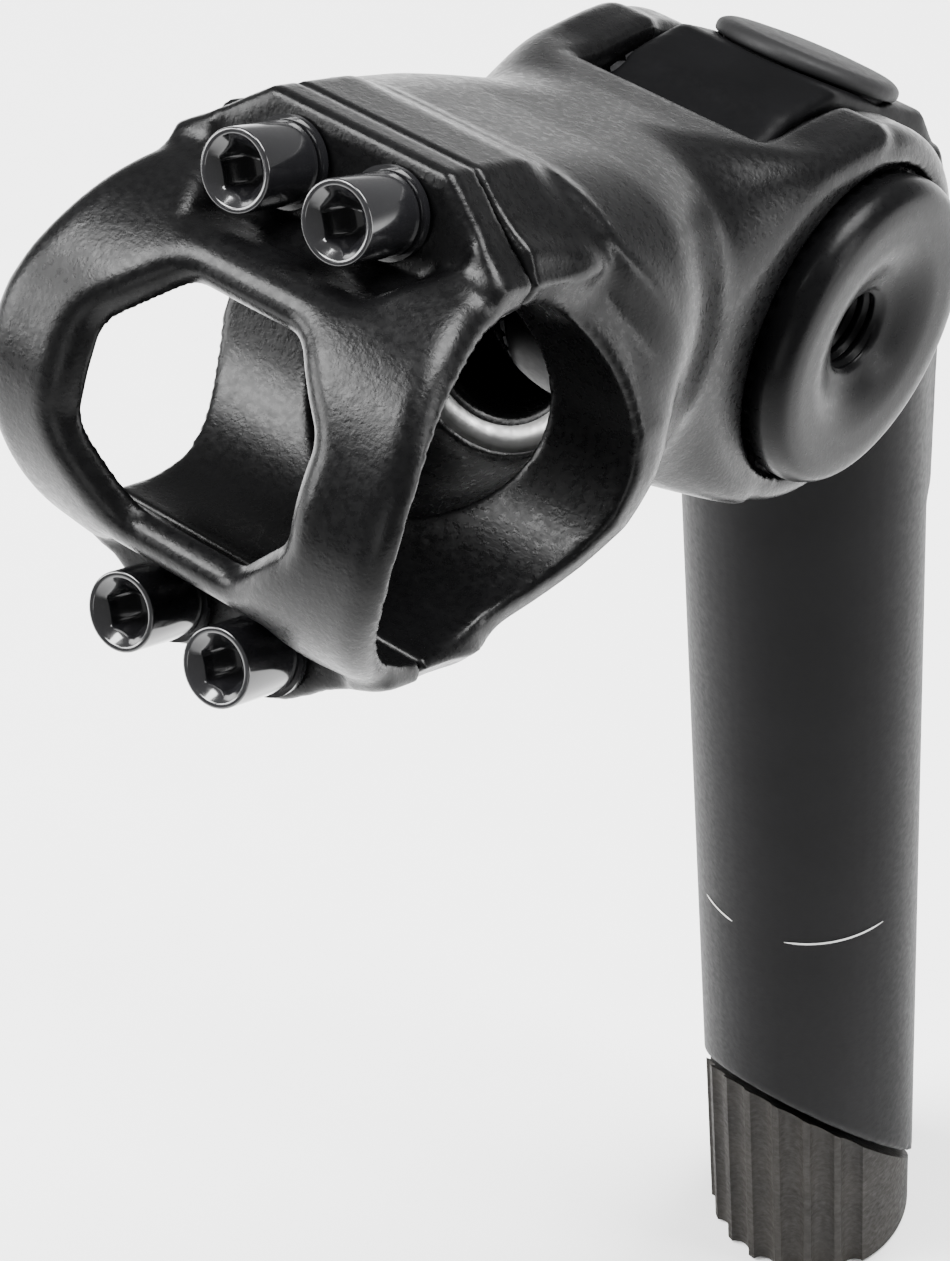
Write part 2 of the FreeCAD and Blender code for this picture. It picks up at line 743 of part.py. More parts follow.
CORNERS = {
    "upper_right": (1, 1),
    "upper_left": (-1, 1),
    "lower_right": (1, -1),
    "lower_left": (-1, -1),
}


def make_clamp_bolt(corner):
    """A tall socket-head bolt of the bar clamp, drawn along -Y in the arm's frame."""
    sign_x, sign_v = CORNERS[corner]
    name = f"faceplate_bolt_{corner}"
    body = new_body(name, on_arm=True)
    across = f"{sign_x} * dims.clamp_x"
    up = f"dims.bar_v + {sign_v} * dims.clamp_v"
    seat = "dims.land_u + dims.clamp_washer_thick"
    shank = new_sketch(body, f"shank_{corner}", "XZ_Plane", seat)
    circle(shank, across, up, "dims.clamp_r")
    swept(body, "Pad", f"shank_pad_{corner}", shank,
          "dims.clamp_reach + dims.clamp_washer_thick", backwards=True)
    head = new_sketch(body, f"head_{corner}", "XZ_Plane", seat)
    circle(head, across, up, "dims.clamp_head_r")
    swept(body, "Pad", f"head_pad_{corner}", head, "dims.clamp_head_long")
    socket = new_sketch(body, f"hex_{corner}", "XZ_Plane", f"{seat} + dims.clamp_head_long")
    hexagon(socket, across, up, "dims.clamp_hex_r")
    swept(body, "Pocket", f"hex_socket_{corner}", socket, "dims.clamp_hex_deep")
    return body


def make_clamp_washer(corner):
    """The thin washer under one clamp bolt's head."""
    sign_x, sign_v = CORNERS[corner]
    body = new_body(f"faceplate_washer_{corner}", on_arm=True)
    across = f"{sign_x} * dims.clamp_x"
    up = f"dims.bar_v + {sign_v} * dims.clamp_v"
    section = new_sketch(body, f"washer_{corner}", "XZ_Plane", "dims.land_u")
    circle(section, across, up, "dims.clamp_washer_r")
    circle(section, across, up, "dims.clamp_r + dims.running_gap")
    swept(body, "Pad", f"washer_pad_{corner}", section, "dims.clamp_washer_thick")
    return body


# ---------------------------------------------------------------- pivot stack

# These are turned about the pivot's axis: the sketches show X across and distance from the
# axis up.


def toothed(body, name, side, face, outwards, inner, outer):
    """Radial V teeth cut in a ring's face, all the way round the pivot axis.  side is 1 on
    the right and -1 on the left; outwards is 1 where the face looks away from the knuckle."""
    cutter = new_sketch(body, name, "XZ_Plane", f"{outer} + 1")
    outline(
        cutter,
        [
            (f"{side} * ({face} + {outwards} * 0.1)", "0.7"),
            (f"{side} * ({face} - {outwards} * dims.tooth_deep)", "0"),
            (f"{side} * ({face} + {outwards} * 0.1)", "-0.7"),
        ],
    )
    notch = swept(body, "Pocket", f"{name}_notch", cutter, f"{outer} - ({inner}) + 2")
    repeated(body, notch, "X_Axis", "dims.teeth", 360)


def make_disc(side):
    """A pivot disc: domed rim, hub through the ear, and teeth against the ear's recess."""
    sign = 1 if side == "right" else -1
    body = new_body(f"pivot_disc_{side}", on_arm=True)
    back = "(dims.ear_out - dims.recess_deep + 0.1)"
    profile = new_sketch(body, f"disc_profile_{side}", "XY_Plane")
    hub_end = "(dims.ear_in + 0.1)"
    hole = "(dims.bolt_r + dims.running_gap)"
    shape = [
        (hub_end, hole),
        (hub_end, "dims.hub_r"),
        (back, "dims.hub_r"),
        (back, "dims.disc_r - 0.2"),
        (f"{back} + 0.9", "dims.disc_r"),
        ("dims.disc_crown - 2.4", "dims.disc_r"),
        ("dims.disc_crown", "dims.disc_r - 3.2"),
        ("dims.disc_crown", "dims.disc_lip"),
    ]
    if side == "right":
        shape.append(("dims.disc_crown - 1.7", "dims.bolt_r + 0.9"))
        shape.append(("dims.disc_crown - 2.2", hole))
    else:
        shape.append(("dims.disc_crown - 1.0", "dims.pivot_head_r + 0.5"))
        shape.append(("dims.pivot_floor", "dims.pivot_head_r + 0.5"))
        shape.append(("dims.pivot_floor", hole))
    outline(profile, [(f"{sign} * ({x})", r) for x, r in shape], {5: ("3.4", sign)})
    turned(body, "Revolution", f"disc_turning_{side}", profile, "X_Axis")
    toothed(body, f"disc_teeth_{side}", sign, back, -1, "dims.disc_r - 3", "dims.disc_r")
    return body


def make_toothed_ring(side):
    """A hardened ring pressed into the knuckle's side, its teeth towards the ear."""
    sign = 1 if side == "right" else -1
    body = new_body(f"toothed_ring_{side}")
    body.setExpression("Placement.Base.y", "dims.pivot_y")
    body.setExpression("Placement.Base.z", "dims.pivot_z")
    profile = new_sketch(body, f"ring_profile_{side}", "XY_Plane")
    outline(
        profile,
        [
            (f"{sign} * dims.ring_seat", "dims.ring_in + 0.02"),
            (f"{sign} * dims.ring_face", "dims.ring_in + 0.02"),
            (f"{sign} * dims.ring_face", "dims.ring_out - 0.02"),
            (f"{sign} * dims.ring_seat", "dims.ring_out - 0.02"),
        ],
    )
    turned(body, "Revolution", f"ring_turning_{side}", profile, "X_Axis")
    toothed(body, f"ring_teeth_{side}", sign, "dims.ring_face", 1, "dims.ring_in", "dims.ring_out")
    return body


def cylinder_along_x(name, start, length, outer, inner, on_arm):
    """A sleeve about the pivot axis."""
    body = new_body(name, on_arm)
    if not on_arm:
        body.setExpression("Placement.Base.y", "dims.pivot_y")
        body.setExpression("Placement.Base.z", "dims.pivot_z")
    section = new_sketch(body, f"{name}_circles", "YZ_Plane", start)
    circle(section, "0", "0", outer)
    circle(section, "0", "0", inner)
    swept(body, "Pad", f"{name}_pad", section, length)
    return body


def make_pivot_bolt():
    """The pivot bolt, low socket head on the left, shank into the right disc's thread."""
    body = new_body("pivot_bolt", on_arm=True)
    profile = new_sketch(body, "pivot_bolt_profile", "XY_Plane")
    seat = "-(dims.pivot_floor + dims.pivot_washer)"
    head = f"({seat} - dims.pivot_head_high)"
    outline(
        profile,
        [
            (head, "0"),
            (head, "dims.pivot_head_r - 0.6"),
            (f"{head} + 0.6", "dims.pivot_head_r"),
            (seat, "dims.pivot_head_r"),
            (seat, "dims.bolt_r"),
            ("dims.pivot_end - 0.8", "dims.bolt_r"),
            ("dims.pivot_end", "dims.bolt_r - 0.8"),
            ("dims.pivot_end", "0"),
        ],
    )
    turned(body, "Revolution", "pivot_bolt_turning", profile, "X_Axis")
    socket = new_sketch(body, "pivot_hex", "YZ_Plane", head)
    hexagon(socket, "0", "0", "2.9")
    swept(body, "Pocket", "pivot_socket", socket, "3", backwards=True)
    return body


# ---------------------------------------------------------------- build and write

pieces = [
    make_quill_shaft(),
    make_wedge(),
    make_expander_bolt(),
    ring("expander_washer", "dims.bolt_hole_r", "dims.head_r + 0.1", "dims.expander_seat",
         "dims.washer_thick"),
    make_cap(),
    make_stem_arm(),
    make_faceplate(),
    *[make_clamp_bolt(corner) for corner in CORNERS],
    *[make_clamp_washer(corner) for corner in CORNERS],
    make_disc("right"),
    make_disc("left"),
    make_toothed_ring("right"),
    make_toothed_ring("left"),
    cylinder_along_x("pivot_bush", "-dims.ring_seat", "2 * dims.ring_seat", "dims.bush_r - 0.02",
                     "dims.bolt_r + dims.running_gap", on_arm=False),
    cylinder_along_x("pivot_washer", "-(dims.pivot_floor + dims.pivot_washer)",
                     "dims.pivot_washer", "dims.pivot_head_r + 0.3",
                     "dims.bolt_r + dims.running_gap", on_arm=True),
    make_pivot_bolt(),
]
doc.recompute()

for item in doc.Objects:
    if "Invalid" in item.State or "Error" in item.State:
        raise RuntimeError(f"{item.Name} did not compute: {item.State}")
for piece in pieces:
    if piece.Shape.isNull() or not piece.Shape.isValid():
        raise RuntimeError(f"{piece.Label} has no valid shape")
    if len(piece.Shape.Solids) != 1:
        raise RuntimeError(f"{piece.Label} is {len(piece.Shape.Solids)} solids")

os.makedirs("parts", exist_ok=True)
for piece in pieces:
    piece.Shape.exportStep(f"parts/{piece.Label}.step")
    box = piece.Shape.BoundBox
    print(f"{piece.Label:34s} X {box.XMin:7.2f} {box.XMax:7.2f}  Y {box.YMin:7.2f} {box.YMax:7.2f}"
          f"  Z {box.ZMin:7.2f} {box.ZMax:7.2f}  {piece.Shape.Volume:10.1f}")
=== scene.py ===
import json
import math

import bpy
import numpy as np
from mathutils import Matrix, Vector


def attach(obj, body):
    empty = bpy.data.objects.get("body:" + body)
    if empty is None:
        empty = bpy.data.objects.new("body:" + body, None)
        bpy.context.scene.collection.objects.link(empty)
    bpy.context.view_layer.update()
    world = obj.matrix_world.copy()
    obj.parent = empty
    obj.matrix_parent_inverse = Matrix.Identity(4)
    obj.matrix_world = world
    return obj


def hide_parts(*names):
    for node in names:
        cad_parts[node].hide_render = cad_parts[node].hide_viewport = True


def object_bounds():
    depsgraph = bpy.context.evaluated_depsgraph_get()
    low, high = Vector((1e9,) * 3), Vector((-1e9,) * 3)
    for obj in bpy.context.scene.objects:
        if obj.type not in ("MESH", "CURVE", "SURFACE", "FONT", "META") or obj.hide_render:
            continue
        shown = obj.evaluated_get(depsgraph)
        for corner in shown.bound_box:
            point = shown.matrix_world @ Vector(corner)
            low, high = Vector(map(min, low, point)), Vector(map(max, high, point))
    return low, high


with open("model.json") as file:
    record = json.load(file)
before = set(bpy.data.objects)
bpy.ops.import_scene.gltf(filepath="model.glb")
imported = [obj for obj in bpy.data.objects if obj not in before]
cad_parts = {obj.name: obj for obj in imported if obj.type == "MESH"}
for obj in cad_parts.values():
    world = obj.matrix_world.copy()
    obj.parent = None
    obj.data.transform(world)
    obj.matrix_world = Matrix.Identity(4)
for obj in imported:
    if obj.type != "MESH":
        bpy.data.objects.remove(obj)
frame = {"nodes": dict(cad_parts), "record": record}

MM = 0.001
CAD_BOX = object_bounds()

# The arm's own frame, as in the CAD: x to the right, u forward along the clamp bolts, v square
# to both, origin at the tilt pivot.  Millimetres until a mesh is made.
PIVOT = np.array([0.0, -16.6, 107.7])
TILT = math.radians(30.5)
FORWARD = np.array([0.0, -math.cos(TILT), math.sin(TILT)])
UPWARD = np.array([0.0, math.sin(TILT), math.cos(TILT)])
BAR_U, BAR_V, BAR_R = 56.25, -6.6, 15.9
PART_U, LAND_U = 56.75, 60.95
CLAMP_X, CLAMP_V = 5.3, 19.9
RING_IN, RING_OUT = 11.5, 17.4
KNUCKLE_R, KNUCKLE_HALF, EAR_SWEEP_R = 18.4, 9.2, 19.2
QUILL_R, NECK_R, STRAIGHT_TOP, NECK_TOP = 12.7, 12.45, 66.0, 104.0
CUT_HEIGHT, CUT_SLOPE = -48.5, 1.42
CAP_Y, CAP_Z, CAP_TILT = 0.7, 118.0, math.radians(42)
HUB_R, DISC_SEAT_R, DISC_SEAT_X = 9.65, 15.5, 15.8
PASSAGE_R, PASSAGE_V, CLAMP_HOLE_R = 7.4, -4.0, 2.55
CORNERS = {"upper_right": (1, 1), "upper_left": (-1, 1), "lower_right": (1, -1), "lower_left": (-1, -1)}


def arm_to_world(points):
    """Points (x, u, v) of the arm's frame, in mm, as row-frame points in metres."""
    x, u, v = points[:, 0:1], points[:, 1:2], points[:, 2:3]
    return (PIVOT + x * np.array([1.0, 0, 0]) + u * FORWARD + v * UPWARD) * MM


# ---------------------------------------------------------------- materials


def wire(tree, kind, **inputs):
    """A new node with some of its sockets set, each to a number or to another node's output."""
    node = tree.nodes.new(kind)
    for name, given in inputs.items():
        socket = node.inputs[name.replace("_", " ")]
        if isinstance(given, bpy.types.NodeSocket):
            tree.links.new(given, socket)
        else:
            socket.default_value = given
    return node


def noise(tree, where, scale, detail=3.0, rough=0.55):
    return wire(tree, "ShaderNodeTexNoise", Vector=where, Scale=scale, Detail=detail,
                Roughness=rough).outputs["Fac"]


def spread(tree, fac, low, high, to_low, to_high):
    """The input's range low..high carried to to_low..to_high."""
    node = wire(tree, "ShaderNodeMapRange", Value=fac)
    for name, number in (("From Min", low), ("From Max", high), ("To Min", to_low), ("To Max", to_high)):
        node.inputs[name].default_value = number
    return node.outputs["Result"]


def two_tones(tree, fac, dark, light):
    mix = tree.nodes.new("ShaderNodeMix")
    mix.data_type = "RGBA"
    tree.links.new(fac, mix.inputs["Factor"])
    mix.inputs["A"].default_value = (*dark, 1)
    mix.inputs["B"].default_value = (*light, 1)
    return mix.outputs["Result"]


def finish_of(name, dark, light, rough, metallic=0.0, coat=0.0, coat_rough=0.2, peel=(), specular=0.5):
    """A procedural surface.  rough is (low, high); peel lists (scale per metre, depth in mm)."""
    made = bpy.data.materials.new(name)
    made.use_nodes = True
    tree = made.node_tree
    shader = tree.nodes["Principled BSDF"]
    where = tree.nodes.new("ShaderNodeTexCoord").outputs["Object"]
    cloud = noise(tree, where, 90.0, 4.0)
    grain = noise(tree, where, 1400.0, 2.0)
    tone = spread(tree, cloud, 0.3, 0.7, 0.0, 1.0)
    tree.links.new(two_tones(tree, tone, dark, light), shader.inputs["Base Color"])
    tree.links.new(spread(tree, grain, 0.3, 0.7, *rough), shader.inputs["Roughness"])
    shader.inputs["Metallic"].default_value = metallic
    shader.inputs["Specular IOR Level"].default_value = specular
    shader.inputs["Coat Weight"].default_value = coat
    shader.inputs["Coat Roughness"].default_value = coat_rough
    normal = None
    for scale, depth in peel:
        bump = wire(tree, "ShaderNodeBump", Height=noise(tree, where, scale, 2.0),
                    Distance=depth * MM)
        if normal is not None:
            tree.links.new(normal, bump.inputs["Normal"])
        normal = bump.outputs["Normal"]
    if normal is not None:
        tree.links.new(normal, shader.inputs["Normal"])
    return made


FINISHES = {
    "arm_paint": finish_of("arm_paint", (0.0014, 0.0014, 0.0015), (0.0026, 0.0026, 0.0028), (0.23, 0.36),
                           peel=((2600.0, 0.026), (900.0, 0.022)), specular=0.15),
    "quill_paint": finish_of("quill_paint", (0.0022, 0.0022, 0.0024), (0.0034, 0.0034, 0.0037), (0.38, 0.48),
                             peel=((3600.0, 0.008),), specular=0.03),
    "disc_paint": finish_of("disc_paint", (0.0016, 0.0016, 0.0018), (0.0028, 0.0028, 0.003), (0.26, 0.36),
                            peel=((3200.0, 0.010),), specular=0.08),
    "black_steel": finish_of("black_steel", (0.004, 0.004, 0.0045), (0.008, 0.008, 0.009), (0.12, 0.22),
                             coat=0.8, coat_rough=0.08, peel=((1200.0, 0.004),), specular=0.4),
    "ring_steel": finish_of("ring_steel", (0.02, 0.02, 0.021), (0.035, 0.035, 0.037), (0.3, 0.45),
                            metallic=0.8, peel=((2500.0, 0.006),)),
    "wedge_cast": finish_of("wedge_cast", (0.007, 0.006, 0.005), (0.015, 0.0132, 0.011), (0.55, 0.75),
                            specular=0.12, peel=((1500.0, 0.05), (420.0, 0.08))),
    "cap_rubber": finish_of("cap_rubber", (0.004, 0.004, 0.0043), (0.007, 0.007, 0.0074), (0.55, 0.65),
                            peel=((3000.0, 0.012),), specular=0.2),
    "marking": finish_of("marking", (0.42, 0.42, 0.41), (0.5, 0.5, 0.49), (0.5, 0.6),
                         peel=((3000.0, 0.004),)),
    # bare_metal colours the ring on the shoulder in the arm's hollow, which is a painted highlight.
    "bare_metal": finish_of("bare_metal", (0.30, 0.30, 0.30), (0.45, 0.45, 0.44), (0.35, 0.55),
                            metallic=0.9, peel=((2200.0, 0.02), (700.0, 0.03))),
}

for subpart in frame["record"]["subparts"]:
    mesh = frame["nodes"][subpart["node"]].data
    mesh.materials.clear()
    mesh.materials.append(FINISHES[subpart["material_slot"]])


# ---------------------------------------------------------------- making meshes


def add_piece(name, points, faces, body, slot, replaced=(), smooth=True):
    """A mesh piece from row-frame points in metres, riding on a body."""
    mesh = bpy.data.meshes.new(name)
    mesh.from_pydata([tuple(p) for p in points], [], [tuple(int(i) for i in f) for f in faces])
    mesh.validate()
    if smooth:
        mesh.polygons.foreach_set("use_smooth", np.ones(len(mesh.polygons), bool))
    piece = bpy.data.objects.new(name, mesh)
    bpy.context.scene.collection.objects.link(piece)
    mesh.materials.append(FINISHES[slot])
    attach(piece, body)
    if replaced:
        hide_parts(*replaced)
    return piece


def around(rows, count, cap_first=True, cap_last=True):
    """Rings of one point per angle, joined into a skin.  Each row is a function of the angles
    that gives (radius, height) arrays or numbers."""
    angles = np.linspace(0, 2 * math.pi, count, endpoint=False)
    points = []
    for row in rows:
        radius, height = row(angles) if callable(row) else row
        radius = np.broadcast_to(radius, angles.shape)
        height = np.broadcast_to(height, angles.shape)
        points.append(np.stack([radius * np.cos(angles), radius * np.sin(angles), height], 1))
    faces = []
    for k in range(len(rows) - 1):
        for i in range(count):
            j = (i + 1) % count
            faces.append((k * count + i, k * count + j, (k + 1) * count + j, (k + 1) * count + i))
    if cap_first:
        faces.append(tuple(range(count - 1, -1, -1)))
    if cap_last:
        last = (len(rows) - 1) * count
        faces.append(tuple(range(last, last + count)))
    return np.concatenate(points), faces


def rounded(corners, radius, steps=5):
    """The points (r, z) of a profile whose inner corners are rounded."""
    out = [corners[0]]
    for before, here, after in zip(corners, corners[1:], corners[2:]):
        a, p, b = (np.array(q, float) for q in (before, here, after))
        reach = min(radius, 0.45 * np.linalg.norm(a - p), 0.45 * np.linalg.norm(b - p))
        start = p + (a - p) / np.linalg.norm(a - p) * reach
        stop = p + (b - p) / np.linalg.norm(b - p) * reach
        for t in np.linspace(0, 1, steps):
            out.append(tuple((1 - t) ** 2 * start + 2 * t * (1 - t) * p + t ** 2 * stop))
    out.append(corners[-1])
    return out


# ---------------------------------------------------------------- solids from distance fields


def smooth_min(a, b, k):
    h = np.clip(0.5 + 0.5 * (b - a) / k, 0, 1)
    return b * (1 - h) + a * h - k * h * (1 - h)


def smooth_max(a, b, k):
    return -smooth_min(-a, -b, k)


def polygon_field(a, b, corners):
    """Signed distance to a closed polygon in the plane of a and b, negative inside."""
    best = np.full(np.broadcast(a, b).shape, 1e9)
    sign = np.ones_like(best)
    previous = corners[-1]
    for point in corners:
        ex, ey = previous[0] - point[0], previous[1] - point[1]
        wx, wy = a - point[0], b - point[1]
        t = np.clip((wx * ex + wy * ey) / (ex * ex + ey * ey), 0, 1)
        best = np.minimum(best, (wx - ex * t) ** 2 + (wy - ey * t) ** 2)
        above = b >= point[1]
        below = b < previous[1]
        left = ex * wy > ey * wx
        flip = (above & below & left) | (~above & ~below & ~left)
        sign = np.where(flip, -sign, sign)
        previous = point
    return sign * np.sqrt(best)


def eased(t):
    t = np.clip(t, 0, 1)
    return t * t * (3 - 2 * t)


def shell_of(field, low, step, passes=2):
    """The surface where a sampled field crosses zero, as points and quads."""
    cells = np.array(field.shape) - 1
    total = np.zeros((*cells, 3), np.float32)
    count = np.zeros(cells, np.float32)
    quads = []
    crossings = []
    for axis in range(3):
        first, second = [slice(None)] * 3, [slice(None)] * 3
        first[axis], second[axis] = slice(0, -1), slice(1, None)
        fa, fb = field[tuple(first)], field[tuple(second)]
        cross = (fa < 0) != (fb < 0)
        where = np.where(cross, fa / np.where(cross, fa - fb, 1), 0)
        p, q = [o for o in range(3) if o != axis]
        for dp in (0, 1):
            for dq in (0, 1):
                part = [slice(None)] * 3
                part[p] = slice(dp, dp + cells[p])
                part[q] = slice(dq, dq + cells[q])
                c = cross[tuple(part)]
                total[..., axis] += where[tuple(part)] * c
                total[..., p] += dp * c
                total[..., q] += dq * c
                count += c
        crossings.append((axis, p, q, cross, fa < 0))
    has = count > 0
    index = np.full(cells, -1, np.int64)
    index[has] = np.arange(has.sum())
    places = np.argwhere(has) + total[has] / count[has][:, None]
    for axis, p, q, cross, inward in crossings:
        i = np.argwhere(cross)
        i = i[(i[:, p] > 0) & (i[:, q] > 0) & (i[:, p] < cells[p]) & (i[:, q] < cells[q])]
        around_edge = []
        for dp, dq in ((0, 0), (1, 0), (1, 1), (0, 1)):
            j = i.copy()
            j[:, p] -= dp
            j[:, q] -= dq
            around_edge.append(index[tuple(j.T)])
        quad = np.stack(around_edge, 1)
        flip = inward[tuple(i.T)]
        if axis == 1:
            flip = ~flip
        quad[flip] = quad[flip][:, ::-1]
        quads.append(quad)
    quads = np.concatenate(quads)
    points = places
    ends = np.concatenate([quads[:, [0, 1]], quads[:, [1, 2]], quads[:, [2, 3]], quads[:, [3, 0]]])
    degree = np.bincount(ends.ravel(), minlength=len(points)).astype(float)
    for amount in (0.6, -0.62) * passes:
        near = np.zeros_like(points)
        for c in range(3):
            near[:, c] = (np.bincount(ends[:, 0], points[ends[:, 1], c], len(points))
                          + np.bincount(ends[:, 1], points[ends[:, 0], c], len(points)))
        points = points + amount * (near / np.maximum(degree, 1)[:, None] - points)
    return points * step + np.array(low), quads


def sample_grid(low, high, step):
    """Grid coordinates as three arrays that broadcast to the whole grid."""
    x, u, v = (np.arange(a, b + step, step, dtype=np.float32) for a, b in zip(low, high))
    return x[:, None, None], u[None, :, None], v[None, None, :]


def lug_outline(shoulder, corner, foot):
    """Front view of the clamp's lugs, across against height over the bar's centre.  The three
    depths place the lower corners; the upper ones stay."""
    lower = [(9.3, -foot), (10.8, -corner), (17.4, -shoulder)]
    waist = [(15.6, -14.5), (15.2, 0), (15.6, 14.5)]
    upper = [(17.4, 18.2), (10.8, 23.7), (9.3, 24.9)]
    right = lower + waist + upper
    return right + [(-across, height) for across, height in reversed(right)]


REAR_OUTLINE = lug_outline(16.5, 19.6, 20.6)
PLATE_OUTLINE = lug_outline(17.2, 21.2, 22.2)
SADDLE_WIDTH = ((90, 104, 119, 134, 151, 165, 180), (15.4, 15.2, 16.2, 17.9, 19.9, 21.3, 21.6))
PLATE_WIDTH = ((0, 14, 25, 37, 52, 77, 97), (21.9, 21.7, 21.1, 20.2, 19.1, 17.1, 16.2))
ARM_SIDE = [
    (2, 18.3), (10, 17.2), (20, 16.8), (34, 16.8), (46, 17.2), (52, 12), (52, -22), (46, -22.5),
    (42, -20.4), (36, -17.6), (30, -16.0), (20, -15.8), (7, -17.4),
]


def thread_field(x, v, hole):
    """Distance to the four clamp holes, which run forward."""
    out = None
    for sign_x, sign_v in CORNERS.values():
        one = np.hypot(x - sign_x * CLAMP_X, v - BAR_V - sign_v * CLAMP_V) - hole
        out = one if out is None else np.minimum(out, one)
    return out


def arm_mesh(step):
    low, high = (-23.2, -20.0, -33.2), (23.2, 57.4, 20.2)
    x, u, v = sample_grid(low, high, step)
    across = np.abs(x)
    from_bar = np.hypot(u - BAR_U, v - BAR_V)
    bearing = np.degrees(np.abs(np.arctan2(v - BAR_V, u - BAR_U)))
    from_pivot = np.hypot(u, v)

    neck_wide = 17.0 + 4.0 * eased((u - 22) / 15)
    saddle_wide = np.interp(bearing, *SADDLE_WIDTH)
    wide = neck_wide + (saddle_wide - neck_wide) * eased((23.5 - from_bar) / 4.5)
    side = smooth_min(polygon_field(u, v, ARM_SIDE), from_pivot - 18.6, 3.0)
    soft = 3.0 + 12.0 * eased((u - 10) / 16)
    neck = smooth_max(side, across - wide, soft)
    saddle = smooth_max(from_bar - 19.9, across - wide, 3.2)
    body = smooth_min(neck, saddle, 4.0)

    front = polygon_field(x, v - BAR_V, REAR_OUTLINE)
    lugs = smooth_max(front, 47.5 - u, 3.0)
    body = smooth_min(body, lugs, 3.5)
    bosses = np.hypot(across - CLAMP_X, v - BAR_V + CLAMP_V) - 4.6
    bosses = smooth_max(bosses, 43.5 - u, 1.6)
    body = smooth_min(body, bosses, 1.2)
    body = np.maximum(body, u - (PART_U - 0.15))

    inner = np.where(u < 40, 11.0 + (u - 30) * 0.16, 12.6 + (u - 40) * 0.08)
    lift = np.where(u < 40, -4.0 - (u - 30) * 0.12, -5.2 - (u - 40) * 0.04)
    hollow = np.maximum(np.hypot(x, v - lift) - inner, 30.0 - u)
    passage = np.maximum(np.hypot(x, v - PASSAGE_V) - PASSAGE_R, 9.0 - u)
    body = smooth_max(body, -hollow, 0.8)
    body = smooth_max(body, -passage, 0.8)
    body = smooth_max(body, -(from_bar - BAR_R), 0.5)

    slot = smooth_min(from_pivot - 21.5, u - 10.2, 1.0)
    slot = smooth_max(slot, across - 10.0, 0.6)
    body = smooth_max(body, -slot, 1.6)
    recess = np.maximum(from_pivot - DISC_SEAT_R, DISC_SEAT_X - across)
    body = smooth_max(body, -recess, 0.5)
    body = np.maximum(body, -(from_pivot - HUB_R))
    body = np.maximum(body, -thread_field(x, v, CLAMP_HOLE_R))
    return shell_of(np.ascontiguousarray(body, np.float32), low, step)


WINDOW_CORE = [(4.4, 7.0), (-4.4, 7.0), (-8.2, 3.2), (-8.2, -3.2), (-4.4, -7.0), (4.4, -7.0), (8.2, -3.2),
               (8.2, 3.2)]


def plate_mesh(step):
    low, high = (-24.2, 55.8, -33.2), (24.2, 77.0, 20.2)
    x, u, v = sample_grid(low, high, step)
    across = np.abs(x)
    height = v - BAR_V
    from_bar = np.hypot(u - BAR_U, height)
    bearing = np.degrees(np.abs(np.arctan2(height, u - BAR_U)))
    wide = np.interp(bearing, *PLATE_WIDTH)
    shell = smooth_max(from_bar - 18.9 + 0.9 * eased((across - 8) / 14), across - wide, 3.0)
    front = polygon_field(x, height, PLATE_OUTLINE)
    front = smooth_min(front, np.hypot(across - CLAMP_X, height + CLAMP_V) - 4.4, 1.2)
    lugs = smooth_max(front, u - LAND_U, 1.2)
    body = smooth_min(shell, lugs, 2.4)

    high_edge = polygon_field(x, np.abs(height),
                              [(-8.8, 14.6), (8.8, 14.6), (12.8, 18.6), (14, 30), (-14, 30), (-12.8, 18.6)])
    pocket = smooth_max(high_edge, LAND_U - u, 0.8)
    pocket = np.maximum(pocket, 16.55 - from_bar)
    body = smooth_max(body, -pocket, 1.3)

    window = polygon_field(x, height, WINDOW_CORE)
    window = window - 4.9 + (19.25 - from_bar) * 0.55
    window = np.maximum(window, BAR_U + 4 - u)
    body = smooth_max(body, -window, 2.0)
    body = np.maximum(body, (PART_U + 0.15) - u)
    body = smooth_max(body, -(from_bar - BAR_R), 0.5)
    body = np.maximum(body, -thread_field(x, v, CLAMP_HOLE_R))
    return shell_of(np.ascontiguousarray(body, np.float32), low, step)


def quill_mesh(step):
    """The quill with its knuckle blended in, drawn in the row's frame."""
    low, high = (-14.2, -36.2, -68.0), (14.2, 15.4, 127.5)
    x, y, z = sample_grid(low, high, step)
    across = np.abs(x)
    about = np.hypot(x, y)
    from_pivot = np.hypot(y - PIVOT[1], z - PIVOT[2])
    straight = np.interp(z, (STRAIGHT_TOP, NECK_TOP), (QUILL_R, NECK_R))
    tube = np.maximum(about - straight, z - NECK_TOP)
    boss = from_pivot - KNUCKLE_R
    back = polygon_field(y, z, [(-8, 84), (-14, 92), (-16.6, 107.7), (-14.0, 125.9), (-6.6, 124.6),
                                (8.0, 111.5), (12.6, 99), (11.8, 88), (8.0, 62)])
    knuckle = smooth_max(smooth_min(boss, back, 2.0), across - KNUCKLE_HALF, 1.8)
    body = smooth_min(tube, knuckle, 3.0)
    body = smooth_max(body, -np.maximum(from_pivot - EAR_SWEEP_R, KNUCKLE_HALF + 0.05 - across), 0.4)
    above = (y - CAP_Y) * math.sin(CAP_TILT) + (z - CAP_Z) * math.cos(CAP_TILT)
    aside = np.hypot(x, (y - CAP_Y) * math.cos(CAP_TILT) - (z - CAP_Z) * math.sin(CAP_TILT))
    body = smooth_max(body, above, 0.3)
    body = np.maximum(body, -np.maximum(aside - 8.15, -2.75 - above))
    body = np.maximum(body, -np.maximum(about - 9.0, z - 70))
    body = np.maximum(body, 4.35 - about)
    body = np.maximum(body, -np.maximum(about - 6.25, 89.95 - z))
    body = np.maximum(body, 5.6 - from_pivot)
    groove = np.maximum(np.maximum(from_pivot - RING_OUT - 0.1, RING_IN - 0.1 - from_pivot), 8.1 - across)
    body = np.maximum(body, -groove)
    body = smooth_max(body, (CUT_HEIGHT - CUT_SLOPE * y - z) / math.hypot(1, CUT_SLOPE), 0.4)
    return shell_of(np.ascontiguousarray(body, np.float32), low, step)


